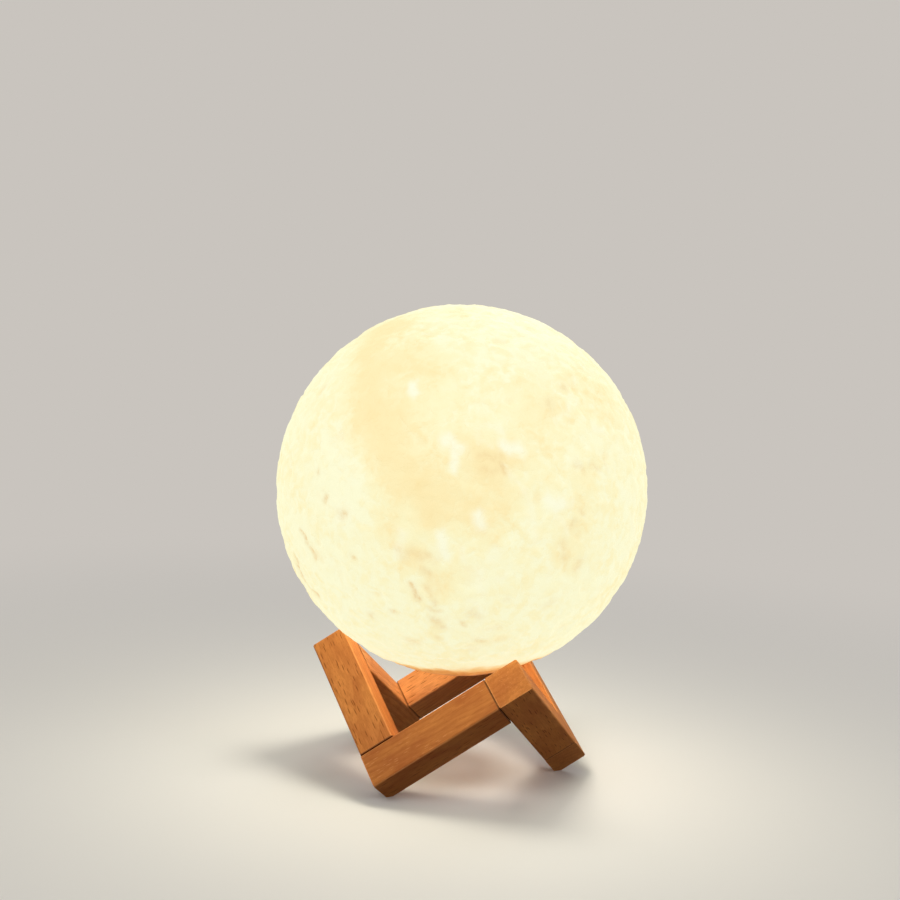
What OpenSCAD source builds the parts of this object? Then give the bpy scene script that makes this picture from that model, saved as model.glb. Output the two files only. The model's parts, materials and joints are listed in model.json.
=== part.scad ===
// Moon lamp: a printed globe, lit from inside, that rests on three corners of
// a puzzle stand. The stand is six equal square wooden bars on one elastic
// cord. They run along six edges of a cube that stands on its corner.
// Millimetres, +Z up. The origin is on the ground, on the globe's axis.

/* [Stand] */
// Side of a bar's square section
bar_w = 14.5; // [11:0.1:17]
// Length of one bar
bar_len = 55.8; // [48:0.1:62]
// Radius of a bar's eased edges
bar_ease = 0.8; // [0.4:0.1:1.5]
// Seam between the end of one bar and the side of the next
seam_gap = 0.2; // [0.1:0.05:0.4]
// Wider seam at the one corner where the ring comes open
open_gap = 0.35; // [0.3:0.05:0.6]
// Height of the tip that is sanded off each foot
foot_flat = 1.5; // [1.2:0.1:2]

/* [Cord] */
// Diameter of the elastic cord
cord_d = 2; // [1.5:0.1:2.6]
// Clearance all round the cord in its bore
cord_clear = 0.25; // [0.15:0.05:0.4]
// Outer diameter of the sleeve that joins the cord's ends
sleeve_d = 3.6; // [3.2:0.1:4.4]
// Length of the sleeve
sleeve_len = 8; // [5:0.5:12]
// Distance of the sleeve from the bar's first corner
sleeve_at = 22; // [16:1:28]

/* [Globe] */
// Outer diameter of the globe
globe_d = 150; // [142:1:160]
// Wall of the printed globe
globe_wall = 1.6; // [1.2:0.1:2.4]
// Clearance between the globe and the corners that carry it
seat_gap = 0.3; // [0.2:0.05:0.5]
// Diameter of the flat ring under the globe
flat_d = 39; // [38:0.5:42]
// Diameter of the round hole in that ring
mouth_d = 34; // [33.4:0.2:35]
// Clearance of each plug-in piece in the one around it
plug_clear = 0.15; // [0.1:0.05:0.3]

/* [Base] */
// Wall of the ring that lines the globe's hole
neck_wall = 1.2; // [1:0.1:1.3]
// Height of that ring
neck_h = 10; // [8:0.5:14]
// Width of the lip that keeps the ring from dropping out
neck_lip = 2.6; // [1.5:0.1:3]
// Thickness of the lip
neck_lip_h = 1.5; // [1:0.1:2.5]
// Gap that the glue fills between the lip and the globe
glue_gap = 0.15; // [0.1:0.05:0.3]
// Wall of the electronics housing
case_wall = 1.2; // [1:0.1:1.3]
// Height of the housing above the cover
case_h = 22; // [20:0.5:26]
// Thickness of the housing's roof
case_roof = 1.6; // [1.2:0.1:2.4]
// Thickness of the bottom cover
cover_t = 2; // [1.8:0.1:2.6]
// Radius of the cover's eased rim
cover_ease = 0.6; // [0.4:0.1:0.8]
// Height of the cover's locating rib
rib_h = 1.6; // [1.2:0.1:2.4]
// Thickness of the locating rib
rib_t = 0.8; // [0.6:0.1:1]

/* [Screws] */
// Gap between a screw post and the housing's wall
post_gap = 0.1; // [0.1:0.05:0.3]
// Diameter of a screw post
post_d = 4.2; // [3.8:0.1:4.4]
// Diameter of a screw's shank
screw_d = 1.7; // [1.4:0.1:1.9]
// Clearance round a shank in its pilot hole
pilot_clear = 0.05; // [0.02:0.01:0.08]
// Clearance round a shank in the piece that it clamps
through_clear = 0.25; // [0.2:0.05:0.35]
// Diameter of a screw's head
head_d = 3.2; // [2.8:0.1:3.4]
// Height of a screw's head
head_h = 1; // [0.8:0.1:1.2]
// Length of a cover screw under its head
cover_screw_len = 7; // [6:0.5:10]
// Length of a board screw under its head
board_screw_len = 5; // [4:0.5:7]

/* [Electronics] */
// Height of the control board above the cover
board_lift = 5; // [4.8:0.1:6]
// Thickness of both circuit boards
board_t = 1.2; // [0.8:0.1:1.6]
// Clearance of the control board in the housing
board_clear = 0.4; // [0.2:0.05:0.6]
// Room between the battery's end and the screw post beside it
cell_clear = 1; // [0.5:0.1:1.5]
// Battery width
cell_y = 12; // [10:0.5:13]
// Battery thickness
cell_z = 6; // [4:0.5:8]
// Thickness of the foam tape under the battery
foam_t = 1; // [0.5:0.1:1.5]
// Diameter of each lead
lead_d = 1.2; // [1:0.1:1.4]

/* [Button] */
// Diameter of the push button
button_d = 6.6; // [6:0.1:7]
// Running clearance round the button
button_clear = 0.2; // [0.1:0.05:0.3]
// How far the button stands out of the cover
button_out = 0.8; // [0.7:0.1:1.2]
// Travel of the button
button_travel = 0.5; // [0.3:0.05:0.6]
// Distance of the button from the axis
button_at = 5.9; // [5.7:0.1:6.2]
// Width of the switch behind the button
switch_w = 6; // [5.5:0.1:6.2]
// Depth of the switch body
switch_h = 3.2; // [3:0.1:3.3]
// Diameter of the switch plunger
plunger_d = 3.4; // [3:0.1:3.8]

/* [Charging socket] */
// Outer diameter of the socket
socket_d = 6.2; // [5.8:0.1:6.4]
// Diameter of the plug that it takes
plug_d = 3.5; // [3.3:0.1:3.8]
// Clearance round the plug
plug_play = 0.1; // [0.05:0.05:0.2]
// Diameter of the centre pin
pin_d = 1.3; // [1:0.1:1.4]
// Depth of the socket's hole
socket_depth = 5.5; // [5:0.1:5.8]
// Room between the socket and the screw post beside it
socket_clear = 0.9; // [0.7:0.1:1.1]
// Diameter of the charge light's lens
lens_d = 2.4; // [2:0.1:3]
// Distance of the lens from the axis
lens_at = 8.8; // [8.4:0.1:9.2]

/* [Light] */
// Diameter of the post that lifts the light
post_od = 8; // [7.5:0.5:10]
// Bore of that post
post_id = 5; // [4.5:0.5:6]
// Height of that post
post_h = 16; // [12:1:20]
// Diameter of the post's foot
post_foot_d = 14; // [12:0.5:18]
// Thickness of the post's foot
post_foot_t = 1.5; // [1:0.1:2.5]
// Diameter of the light board
light_d = 20; // [19:0.5:22]
// Radius of the circle that the diodes sit on
diode_ring = 6.5; // [6:0.1:7]
// Number of diodes
diode_count = 6; // [4:1:8]
// Wall of the diffuser dome
dome_wall = 1.2; // [1:0.1:1.8]

/* [Hidden] */
$fn = 96;
// Half of a bar's section
h = bar_w / 2;
// Pitch of the ring of bars, which is the edge of the cube
pitch = bar_len + seam_gap;
// Distance from the axis to each peak and each foot
ring_r = pitch * sqrt(2 / 3);
// How far easing lowers the tip of a block that stands on its corner
tip_loss = sqrt(3) * bar_ease * (1 - sqrt(1 / 2));
// Height of the peaks that carry the globe
peak_z = (3 * bar_w + pitch) / sqrt(3) - foot_flat - tip_loss;
// Height of the cube's lowest corner, below the ground
cube_z = (3 * h - pitch) / sqrt(3) - foot_flat;
// Longer than anything that a cut goes through
far = 4 * bar_len;
bore_d = cord_d + 2 * cord_clear;
// Overlap of a cut past the face that it opens
cut = 0.5;

globe_r = globe_d / 2;
inner_r = globe_r - globe_wall;
globe_z = peak_z + sqrt(pow(globe_r, 2) - pow(ring_r, 2)) + seat_gap;
// Height of the flat ring under the globe, from the globe's centre
flat_z = -sqrt(pow(globe_r, 2) - pow(flat_d / 2, 2));
neck_r = mouth_d / 2 - plug_clear;
lip_r = neck_r + neck_lip;
// Lowest height at which the lip clears the inside of the globe
lip_z = glue_gap - sqrt(pow(inner_r, 2) - pow(lip_r, 2));
case_r = neck_r - neck_wall - plug_clear;
case_in = case_r - case_wall;
rib_r = case_in - plug_clear;
// Radius of the circle that the screw posts stand on
post_ring = case_in - post_gap - post_d / 2;
// Distance of the socket from the axis
socket_at = post_ring - post_d / 2 - socket_clear - socket_d / 2;
// Length of the battery, which lies between two screw posts
cell_x = 2 * (post_ring - post_d / 2 - cell_clear);
// Inner face of the cover, on which the housing stands
cover_z = flat_z + cover_t;
roof_z = cover_z + case_h;
board_z = cover_z + board_lift;
cell_floor = board_z + board_t + foam_t;
light_z = roof_z + post_h;
dome_in = light_d / 2 + plug_clear;
// Flange that keeps the button behind the cover
button_flange_t = 0.8;
button_flange_w = 1.1;
// Wall of the switch over its plunger, and the free height between them
switch_top = 0.8;
switch_room = button_travel + 0.2;
plunger_clear = 0.1;
diode_size = [3.4, 2.8, 1.6];
chip_size = [4, 3, 1.5];
// Middles of the chips: one at each end of the Y axis and one beside the socket
chip_spots = [[0, post_ring - 3.1], [0, -lens_at], [6.5, 5.5 - post_ring]];
cell_ease = 1;
// Distance of the foam tape's edges from the battery's
tape_inset = 2;
// Distance between the two leads of the battery, and between those of the light
cell_leads_w = 4;
light_leads_w = 2;
// Distance of the light's leads from the battery's side and from its top
leads_beside = 1.5;
leads_over = 2;
// Share of a seam that each cord crosses, so that two cords never meet
seam_share = 0.4;
// Cross recess in a screw's head
recess_w = 0.6 * head_d;
recess_t = 0.14 * head_d;
cover_posts = [0, 120, 240];
board_posts = [60, 300];

// ---- Stand ----

// A cube on its corner, turned so that a peak points to -X
module in_cube()
    translate([0, 0, cube_z])
        rotate([0, 0, 180])
            rotate([0, -atan(sqrt(2)), 0])
                rotate([0, 0, -45])
                    children();

// Puts a bar's own frame in its place: Z along the bar from its first corner,
// X the way the bar before it runs
module at_bar(n) {
    goes_down = n % 2 == 1;
    turn = 120 * floor((n - 1) / 2);
    rotate([0, 0, turn])
        in_cube()
            translate(goes_down ? [pitch, pitch, 0] : [0, pitch, 0])
                rotate(goes_down ? [-90, 0, 90] : [0, 0, 180])
                    children();
}

module eased_rect(a, b, r) {
    square([a - 2 * r, b], center = true);
    square([a, b - 2 * r], center = true);
    for (sx = [-1, 1], sy = [-1, 1])
        translate([sx * (a / 2 - r), sy * (b / 2 - r)])
            circle(r, $fn = 32);
}

// A square stick with all its edges eased, standing on z = 0
module eased_stick(w, l, r)
    intersection() {
        linear_extrude(l)
            eased_rect(w, w, r);
        for (quarter = [0, 90])
            rotate([0, 0, quarter])
                translate([0, 0, l / 2])
                    rotate([90, 0, 0])
                        linear_extrude(w + 2 * cut, center = true)
                            eased_rect(w, l, r);
    }

// A bar's true length: the last bar stops short where the ring comes open
function len_of(n) = bar_len - (n == 6 ? open_gap - seam_gap : 0);

module bar(n)
    color("#d98a45")
        difference() {
            at_bar(n)
                difference() {
                    translate([0, 0, -h])
                        eased_stick(bar_w, len_of(n), bar_ease);
                    cylinder(d = bore_d, h = far);
                    sphere(d = bore_d);
                    rotate([0, -90, 0])
                        cylinder(d = bore_d, h = far);
                    if (n == 1)
                        translate([0, 0, sleeve_at - cord_clear])
                            cylinder(d = sleeve_d + 2 * cord_clear, h = far);
                }
            translate([-far, -far, -2 * far])
                cube(2 * far);
        }

// The stretch of cord inside one bar, from the seam before it to the seam after it
module cord(n) {
    end_gap = n == 6 ? open_gap : seam_gap;
    head_gap = n == 1 ? open_gap : seam_gap;
    color("#f1ece2")
        at_bar(n) {
            cylinder(d = cord_d, h = len_of(n) - h + seam_share * end_gap);
            sphere(d = cord_d);
            rotate([0, -90, 0])
                cylinder(d = cord_d, h = h + seam_share * head_gap);
        }
}

module cord_sleeve()
    color("silver")
        at_bar(1)
            translate([0, 0, sleeve_at])
                difference() {
                    cylinder(d = sleeve_d, h = sleeve_len);
                    translate([0, 0, -cut])
                        cylinder(d = cord_d, h = sleeve_len + 2 * cut);
                }

// ---- Globe ----

module in_globe()
    translate([0, 0, globe_z])
        children();

module globe_shell()
    color("#fff0c0")
        in_globe()
            difference() {
                sphere(r = globe_r);
                sphere(r = inner_r);
                translate([0, 0, flat_z - globe_r])
                    cylinder(r = globe_r, h = globe_r);
                translate([0, 0, -globe_r])
                    cylinder(d = mouth_d, h = globe_r);
            }

module neck_ring()
    color("#f4f1ea")
        in_globe()
            difference() {
                union() {
                    translate([0, 0, flat_z])
                        cylinder(r = neck_r, h = neck_h);
                    translate([0, 0, lip_z])
                        cylinder(r = lip_r, h = neck_lip_h);
                }
                translate([0, 0, flat_z - cut])
                    cylinder(r = neck_r - neck_wall, h = neck_h + 2 * cut);
            }

// ---- Base ----

// Copies its children round the axis, at the radius of the screw posts
module at_posts(angles)
    for (a = angles)
        rotate([0, 0, a])
            translate([post_ring, 0, 0])
                children();

module base_housing()
    color("#f4f1ea")
        in_globe()
            difference() {
                union() {
                    difference() {
                        translate([0, 0, cover_z])
                            cylinder(r = case_r, h = case_h);
                        translate([0, 0, cover_z - cut])
                            cylinder(r = case_in, h = case_h - case_roof + cut);
                    }
                    intersection() {
                        union() {
                            translate([0, 0, cover_z])
                                at_posts(cover_posts)
                                    cylinder(d = post_d, h = case_h - cut);
                            translate([0, 0, board_z + board_t])
                                at_posts(board_posts)
                                    cylinder(d = post_d, h = roof_z - board_z - board_t - cut);
                        }
                        translate([0, 0, cover_z])
                            cylinder(r = case_in + cut, h = case_h);
                    }
                }
                translate([0, 0, cover_z - cut])
                    at_posts(cover_posts)
                        cylinder(d = screw_d + 2 * pilot_clear, h = cover_screw_len);
                translate([0, 0, board_z + board_t - cut])
                    at_posts(board_posts)
                        cylinder(d = screw_d + 2 * pilot_clear, h = board_screw_len);
                translate([0, 0, roof_z - case_roof - cut])
                    cylinder(d = post_id, h = case_roof + 2 * cut);
            }

module base_cover()
    color("#f4f1ea")
        in_globe()
            difference() {
                union() {
                    translate([0, 0, cover_z])
                        mirror([0, 0, 1])
                            rotate_extrude()
                                cover_profile();
                    translate([0, 0, cover_z])
                        difference() {
                            cylinder(r = rib_r, h = rib_h);
                            translate([0, 0, -cut])
                                cylinder(r = rib_r - rib_t, h = rib_h + 2 * cut);
                            at_posts(cover_posts)
                                cylinder(d = post_d + 2 * plug_clear, h = rib_h + cut);
                        }
                }
                translate([0, 0, flat_z - cut]) {
                    at_posts(cover_posts) {
                        cylinder(d = screw_d + 2 * through_clear, h = far);
                        cylinder(d = head_d + 2 * through_clear, h = head_h + cut);
                    }
                    translate([-button_at, 0, 0])
                        cylinder(d = button_d + 2 * button_clear, h = far);
                    translate([socket_at, 0, 0])
                        cylinder(d = socket_d + 2 * plug_clear, h = far);
                    translate([0, -lens_at, 0])
                        cylinder(d = lens_d, h = far);
                }
            }

// Half section of the cover's disc, with its lower rim eased
module cover_profile() {
    square([case_r - cover_ease, cover_t]);
    square([case_r, cover_t - cover_ease]);
    translate([case_r - cover_ease, cover_t - cover_ease])
        circle(cover_ease, $fn = 32);
}

// A round-headed screw with a cross recess; its head is below z = 0
module screw(len)
    difference() {
        union() {
            cylinder(d = screw_d, h = len, $fn = 32);
            translate([0, 0, -head_h])
                cylinder(d = head_d, h = head_h, $fn = 48);
        }
        for (quarter = [0, 90])
            rotate([0, 0, quarter])
                translate([0, 0, -head_h])
                    cube([recess_w, recess_t, head_h], center = true);
    }

module cover_screws()
    color("silver")
        in_globe()
            translate([0, 0, flat_z + head_h])
                at_posts(cover_posts)
                    screw(cover_screw_len - head_h);

module board_screws()
    color("silver")
        in_globe()
            translate([0, 0, board_z])
                at_posts(board_posts)
                    screw(board_screw_len - board_t);

// ---- Electronics ----

module control_board()
    color("seagreen")
        in_globe()
            difference() {
                translate([0, 0, board_z])
                    cylinder(r = case_in - board_clear, h = board_t);
                translate([0, 0, board_z - cut]) {
                    at_posts(cover_posts)
                        cylinder(d = post_d + 2 * board_clear, h = board_t + 2 * cut);
                    at_posts(board_posts)
                        cylinder(d = screw_d + 2 * through_clear, h = board_t + 2 * cut);
                }
            }

// Chips and the charge light, soldered under the board
module board_parts()
    color("#303030")
        in_globe()
            for (spot = chip_spots)
                translate([spot[0] - chip_size[0] / 2, spot[1] - chip_size[1] / 2, board_z - chip_size[2]])
                    cube(chip_size);

module charge_socket()
    color("#2c2c2e")
        in_globe()
            translate([socket_at, 0, flat_z])
                difference() {
                    cylinder(d = socket_d, h = cover_t + board_lift);
                    translate([0, 0, -cut])
                        cylinder(d = plug_d + 2 * plug_play, h = socket_depth + cut);
                }

module charge_pin()
    color("gold")
        in_globe()
            translate([socket_at, 0, flat_z + cut])
                cylinder(d = pin_d, h = socket_depth - cut, $fn = 32);

module charge_lens()
    color("#e8f4ff")
        in_globe()
            translate([0, -lens_at, flat_z])
                cylinder(d = lens_d, h = cover_t + rib_h, $fn = 32);

// Height of the plunger's outer end, which the button's flange touches
function plunger_z() = cover_z + button_flange_t;

module switch_body()
    color("#202022")
        in_globe()
            translate([-button_at, 0, board_z - switch_h])
                difference() {
                    translate([-switch_w / 2, -switch_w / 2, 0])
                        cube([switch_w, switch_w, switch_h]);
                    translate([0, 0, -cut])
                        cylinder(d = plunger_d + 2 * plunger_clear, h = switch_h - switch_top + cut);
                }

module switch_plunger()
    color("#e8e4da")
        in_globe()
            translate([-button_at, 0, plunger_z()])
                cylinder(d = plunger_d, h = board_z - switch_top - switch_room - plunger_z());

module button_cap()
    color("#e9e5dc")
        in_globe()
            translate([-button_at, 0, 0]) {
                translate([0, 0, flat_z - button_out])
                    cylinder(d = button_d, h = cover_t + button_out + button_flange_t);
                translate([0, 0, cover_z])
                    cylinder(d = button_d + 2 * button_flange_w, h = button_flange_t);
            }

module battery()
    color("#b9c3cc")
        in_globe()
            translate([-cell_x / 2, 0, cell_floor + cell_z / 2])
                rotate([90, 0, 90])
                    linear_extrude(cell_x)
                        eased_rect(cell_y, cell_z, cell_ease);

module battery_tape()
    color("#3a3a3a")
        in_globe()
            translate([-cell_x / 2 + tape_inset, -cell_y / 2 + tape_inset, cell_floor - foam_t])
                cube([cell_x - 2 * tape_inset, cell_y - 2 * tape_inset, foam_t]);

// A lead from point to point, with round bends
module lead(path) {
    for (i = [0 : len(path) - 2])
        lead_leg(path[i], path[i + 1]);
    for (i = [1 : len(path) - 2])
        translate(path[i])
            sphere(d = lead_d, $fn = 24);
}

module lead_leg(from, to) {
    run = to - from;
    l = norm(run);
    translate(from)
        rotate([0, acos(run[2] / l), atan2(run[1], run[0])])
            cylinder(d = lead_d, h = l, $fn = 24);
}

module battery_leads()
    color("firebrick")
        in_globe()
            for (y = [-cell_leads_w / 2, cell_leads_w / 2])
                lead([
                    [-cell_x / 2, y, cell_floor + cell_z / 2],
                    [-cell_x / 2 - lead_d, y, cell_floor + cell_z / 2],
                    [-cell_x / 2 - lead_d, y, board_z + board_t]
                ]);

module light_leads()
    color("ivory")
        in_globe()
            for (x = [-light_leads_w / 2, light_leads_w / 2])
                lead([
                    [x, cell_y / 2 + leads_beside, board_z + board_t],
                    [x, cell_y / 2 + leads_beside, cell_floor + cell_z + leads_over],
                    [x, 0, cell_floor + cell_z + leads_over],
                    [x, 0, light_z]
                ]);

// ---- Light ----

module light_post()
    color("#f4f1ea")
        in_globe()
            translate([0, 0, roof_z])
                difference() {
                    union() {
                        cylinder(d = post_od, h = post_h);
                        cylinder(d = post_foot_d, h = post_foot_t);
                    }
                    translate([0, 0, -cut])
                        cylinder(d = post_id, h = post_h + 2 * cut);
                }

module light_board()
    color("white")
        in_globe()
            translate([0, 0, light_z])
                cylinder(d = light_d, h = board_t);

module light_diodes()
    color("#ffd970")
        in_globe()
            for (i = [0 : diode_count - 1])
                rotate([0, 0, 360 * i / diode_count])
                    translate([diode_ring, 0, light_z + board_t + diode_size[2] / 2])
                        cube(diode_size, center = true);

module light_diffuser()
    color("#fbf6e8")
        in_globe()
            translate([0, 0, light_z])
                difference() {
                    sphere(r = dome_in + dome_wall);
                    sphere(r = dome_in);
                    translate([0, 0, -2 * dome_in])
                        cylinder(r = 2 * dome_in, h = 2 * dome_in);
                }

bar(1);  // bar_1
bar(2);  // bar_2
bar(3);  // bar_3
bar(4);  // bar_4
bar(5);  // bar_5
bar(6);  // bar_6
cord(1);  // cord_1
cord(2);  // cord_2
cord(3);  // cord_3
cord(4);  // cord_4
cord(5);  // cord_5
cord(6);  // cord_6
cord_sleeve();
globe_shell();
neck_ring();
base_housing();
base_cover();
cover_screws();
control_board();
board_parts();
board_screws();
charge_socket();
charge_pin();
charge_lens();
switch_body();
switch_plunger();
button_cap();
battery();
battery_tape();
battery_leads();
light_leads();
light_post();
light_board();
light_diodes();
light_diffuser();
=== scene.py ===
import json
import math

import bmesh
import bpy
import numpy as np
from mathutils import Color, Matrix, Vector


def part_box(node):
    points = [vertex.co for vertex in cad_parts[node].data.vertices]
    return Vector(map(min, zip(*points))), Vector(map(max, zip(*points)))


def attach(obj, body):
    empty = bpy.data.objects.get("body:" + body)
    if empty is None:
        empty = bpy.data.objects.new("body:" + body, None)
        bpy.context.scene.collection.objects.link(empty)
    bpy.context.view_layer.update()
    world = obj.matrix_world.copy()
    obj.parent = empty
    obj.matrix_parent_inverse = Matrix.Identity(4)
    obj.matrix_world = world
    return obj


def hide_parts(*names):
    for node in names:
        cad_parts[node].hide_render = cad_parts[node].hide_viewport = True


# A moon lamp: a printed globe, lit from inside, on a folding stand of six beech bars.
# Metres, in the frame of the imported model. Sizes below are written in millimetres.
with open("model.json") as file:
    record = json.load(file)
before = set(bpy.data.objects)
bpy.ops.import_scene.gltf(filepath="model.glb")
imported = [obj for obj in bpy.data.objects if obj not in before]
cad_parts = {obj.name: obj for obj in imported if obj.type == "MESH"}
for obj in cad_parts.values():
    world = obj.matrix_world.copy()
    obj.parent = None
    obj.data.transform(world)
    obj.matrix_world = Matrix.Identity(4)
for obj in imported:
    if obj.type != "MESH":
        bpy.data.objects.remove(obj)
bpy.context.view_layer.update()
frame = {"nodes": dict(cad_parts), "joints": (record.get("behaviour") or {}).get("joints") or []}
MM = 0.001

# ---- Camera ----
# Half a metre in front of the lamp and a little above its middle, with a slight roll.

lens = bpy.data.cameras.new("camera")
lens.lens = 52.8
camera = bpy.data.objects.new("camera", lens)
camera.location = Vector((-20.3, -533.5, 178.6)) * MM
camera.rotation_euler = [math.radians(angle) for angle in (84.9, -3.1, -1.3)]
bpy.context.scene.collection.objects.link(camera)
bpy.context.scene.camera = camera

# ---- Bars ----
# Six square sticks of steamed beech, sawn from different boards, so the rings lie another
# way in each. The edges are eased and the faces fine sanded, then wiped with oil.


def paint(red, green, blue):
    """A colour as a screen shows it, from 0 to 255, as the linear colour that a shader takes."""
    linear = Color((red / 255, green / 255, blue / 255)).from_srgb_to_scene_linear()
    return (*linear, 1.0)


def node(tree, kind, inputs=None, output=0, **settings):
    """Adds a node, sets its inputs or joins them to other nodes, and returns an output."""
    made = tree.nodes.new(kind)
    for name, value in settings.items():
        setattr(made, name, value)
    for place, value in (inputs or {}).items():
        if isinstance(value, bpy.types.NodeSocket):
            tree.links.new(value, made.inputs[place])
        else:
            made.inputs[place].default_value = value
    return made.outputs[output]


def number(tree, operation, *values):
    return node(tree, "ShaderNodeMath", dict(enumerate(values)), operation=operation)


def arrow(tree, operation, *values):
    """Vector arithmetic; a dot product or a length comes out as a number."""
    output = 1 if operation in ("DOT_PRODUCT", "LENGTH", "DISTANCE") else 0
    return node(tree, "ShaderNodeVectorMath", dict(enumerate(values)), output, operation=operation)


def parts_of(tree, vector):
    """The three parts of a vector."""
    return node(tree, "ShaderNodeSeparateXYZ", {0: vector}).node.outputs


def rise(tree, value, low, high, start=0.0, end=1.0):
    """Goes smoothly from start to end as value goes from low to high."""
    sizes = {"Value": value, "From Min": low, "From Max": high, "To Min": start, "To Max": end}
    return node(tree, "ShaderNodeMapRange", sizes, interpolation_type="SMOOTHSTEP")


def mix(tree, share, first, second):
    return node(tree, "ShaderNodeMix", {0: share, 6: first, 7: second}, 2, data_type="RGBA")


def noise(tree, place, stretch, detail=3.0, rough=0.55, output=0):
    """Noise in millimetres: stretch is how many changes there are in each one."""
    spot = arrow(tree, "MULTIPLY", place, stretch)
    sizes = {"Vector": spot, "Scale": 1.0, "Detail": detail, "Roughness": rough}
    return node(tree, "ShaderNodeTexNoise", sizes, output)


def cells(tree, place, stretch):
    """How far each point is from the middle of its cell; stretch as for noise."""
    spot = arrow(tree, "MULTIPLY", place, stretch)
    return node(tree, "ShaderNodeTexVoronoi", {"Vector": spot, "Scale": 1.0}, "Distance")


def in_mm(tree, origin=(0, 0, 0), turn=(0, 0, 0)):
    """Object coordinates in millimetres, in the frame that lies at origin, turned by turn."""
    spot = node(tree, "ShaderNodeTexCoord", output="Object")
    sizes = {"Vector": spot, "Location": origin, "Rotation": turn, "Scale": (MM, MM, MM)}
    return node(tree, "ShaderNodeMapping", sizes, vector_type="TEXTURE")


def bump(tree, height, depth):
    """The normal of a face whose height, from 0 to 1, stands for depth millimetres."""
    return node(tree, "ShaderNodeBump", {"Height": height, "Distance": depth * MM})


def finish(name, roughness=0.5, metallic=0.0):
    """A new material, its tree and its shader."""
    material = bpy.data.materials.new(name)
    material.use_nodes = True
    shader = material.node_tree.nodes["Principled BSDF"]
    shader.inputs["Roughness"].default_value = roughness
    shader.inputs["Metallic"].default_value = metallic
    return material, material.node_tree, shader


def feed(shader, socket, value):
    """Joins a value to one of a shader's inputs."""
    shader.id_data.links.new(value, shader.inputs[socket])


def dress(name, material):
    for material_slot in frame["nodes"][name].material_slots:
        material_slot.material = material


# The ring's corners alternate between three peaks and three feet, 60 degrees apart
pivots = {joint["name"]: Vector(joint["pos_m"]) for joint in frame["joints"] if "pos_m" in joint}
peak_corner = pivots["stand_unfold"]
foot_corner = pivots["swivel_1_2"]
# Half a bar's section, and how far its middle and its far end are from its corner
bar_half = 7.25
bar_middle = 20.65
bar_end = 48.55
# The year rings' pitch, and how far the pith lies from the corner
ring_pitch = 2.3
pith_away = 40.0


def corner_of(k):
    azimuth = math.radians(180 + 60 * (k - 1))
    corner = peak_corner if k % 2 else foot_corner
    radius = math.hypot(corner.x, corner.y)
    return Vector((radius * math.cos(azimuth), radius * math.sin(azimuth), corner.z))


def run_of(k):
    """The way that bar k runs, from its own corner to the next."""
    return (corner_of(k % 6 + 1) - corner_of((k - 1) % 6 + 1)).normalized()


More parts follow.
